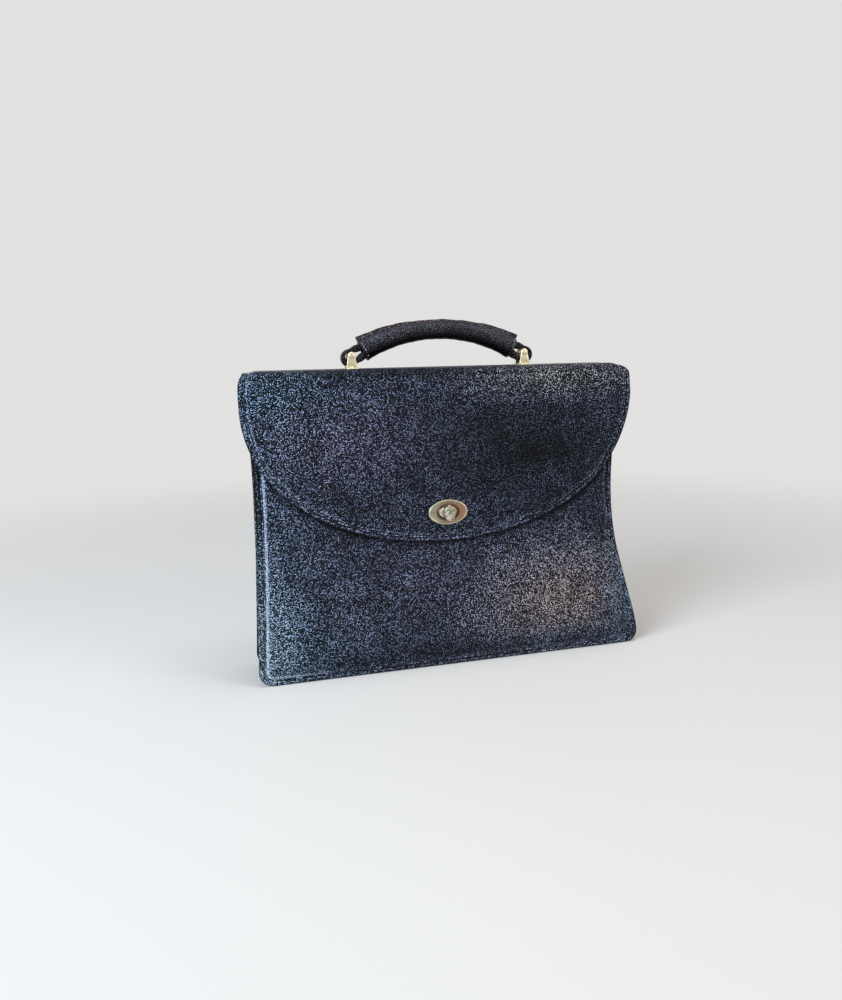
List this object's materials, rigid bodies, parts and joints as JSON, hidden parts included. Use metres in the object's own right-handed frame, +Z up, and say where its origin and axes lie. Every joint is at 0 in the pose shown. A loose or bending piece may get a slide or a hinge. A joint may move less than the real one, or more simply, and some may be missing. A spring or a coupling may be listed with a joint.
{
  "type": "leather flap bag",
  "caption": "Document and cash bag of black grained leather: a deep rounded flap with a turn lock, a folding top with an arched handle on metal brackets, and creased side gussets.",
  "frame": {"origin": "on the surface the bag stands on, at the middle of the base's depth, under the middle of the handle", "axes": "+X to the right of someone facing the lock, +Y from the front to the rear, +Z up"},
  "size_m": [0.4096, 0.0778, 0.3483],
  "materials": {
    "leather": "fine pebble grain, worn semi-gloss",
    "handle_leather": "smooth worn satin",
    "lining": "fine twill",
    "board": "pressed fibre board",
    "core": "matte",
    "bracket_metal": "pale gold plate, worn",
    "lock_metal": "dull antique plate, worn through to copper colour",
    "inner_steel": "plain zinc plate"
  },
  "bodies": {
    "bag": {"front_panel": "leather", "front_board": "board", "front_lining": "lining", "rear_panel": "leather", "rear_board": "board", "rear_lining": "lining", "left_gusset": "leather", "right_gusset": "leather", "base_panel": "leather", "base_board": "board", "base_lining": "lining", "lock_base": "lock_metal", "lock_back_washer": "inner_steel"},
    "knob": {"turn_knob": "lock_metal", "knob_washer": "inner_steel"},
    "top": {"top_panel": "leather", "top_board": "board", "top_lining": "lining", "left_bracket": "bracket_metal", "right_bracket": "bracket_metal", "left_pin": "bracket_metal", "right_pin": "bracket_metal", "left_backing_plate": "inner_steel", "right_backing_plate": "inner_steel", "bracket_rivet_1": "bracket_metal", "bracket_rivet_2": "bracket_metal", "bracket_rivet_3": "bracket_metal", "bracket_rivet_4": "bracket_metal"},
    "flap": {"flap_panel": "leather", "flap_lining": "lining", "lock_plate": "lock_metal", "lock_plate_back": "inner_steel"},
    "handle": {"handle_grip": "handle_leather", "handle_core": "core", "left_handle_loop": "handle_leather", "right_handle_loop": "handle_leather"}
  },
  "joints": [
    {"name": "top_fold", "type": "hinge", "parent": "bag", "child": "top", "pos_m": [0, 0.02566, 0.29966], "axis": [-1, 0, 0], "range_deg": [0, 120]},
    {"name": "flap_fold", "type": "hinge", "parent": "top", "child": "flap", "pos_m": [0, -0.03056, 0.29966], "axis": [-1, 0, 0], "range_deg": [0, 165]},
    {"name": "lock_turn", "type": "hinge", "parent": "bag", "child": "knob", "pos_m": [-0.0035, -0.04, 0.163], "axis": [0, -1, 0], "range_deg": [0, 90]},
    {"name": "handle_lift", "type": "slide", "parent": "top", "child": "handle", "axis": [0, 0, 1], "range_m": [0, 0.0048]}
  ]
}
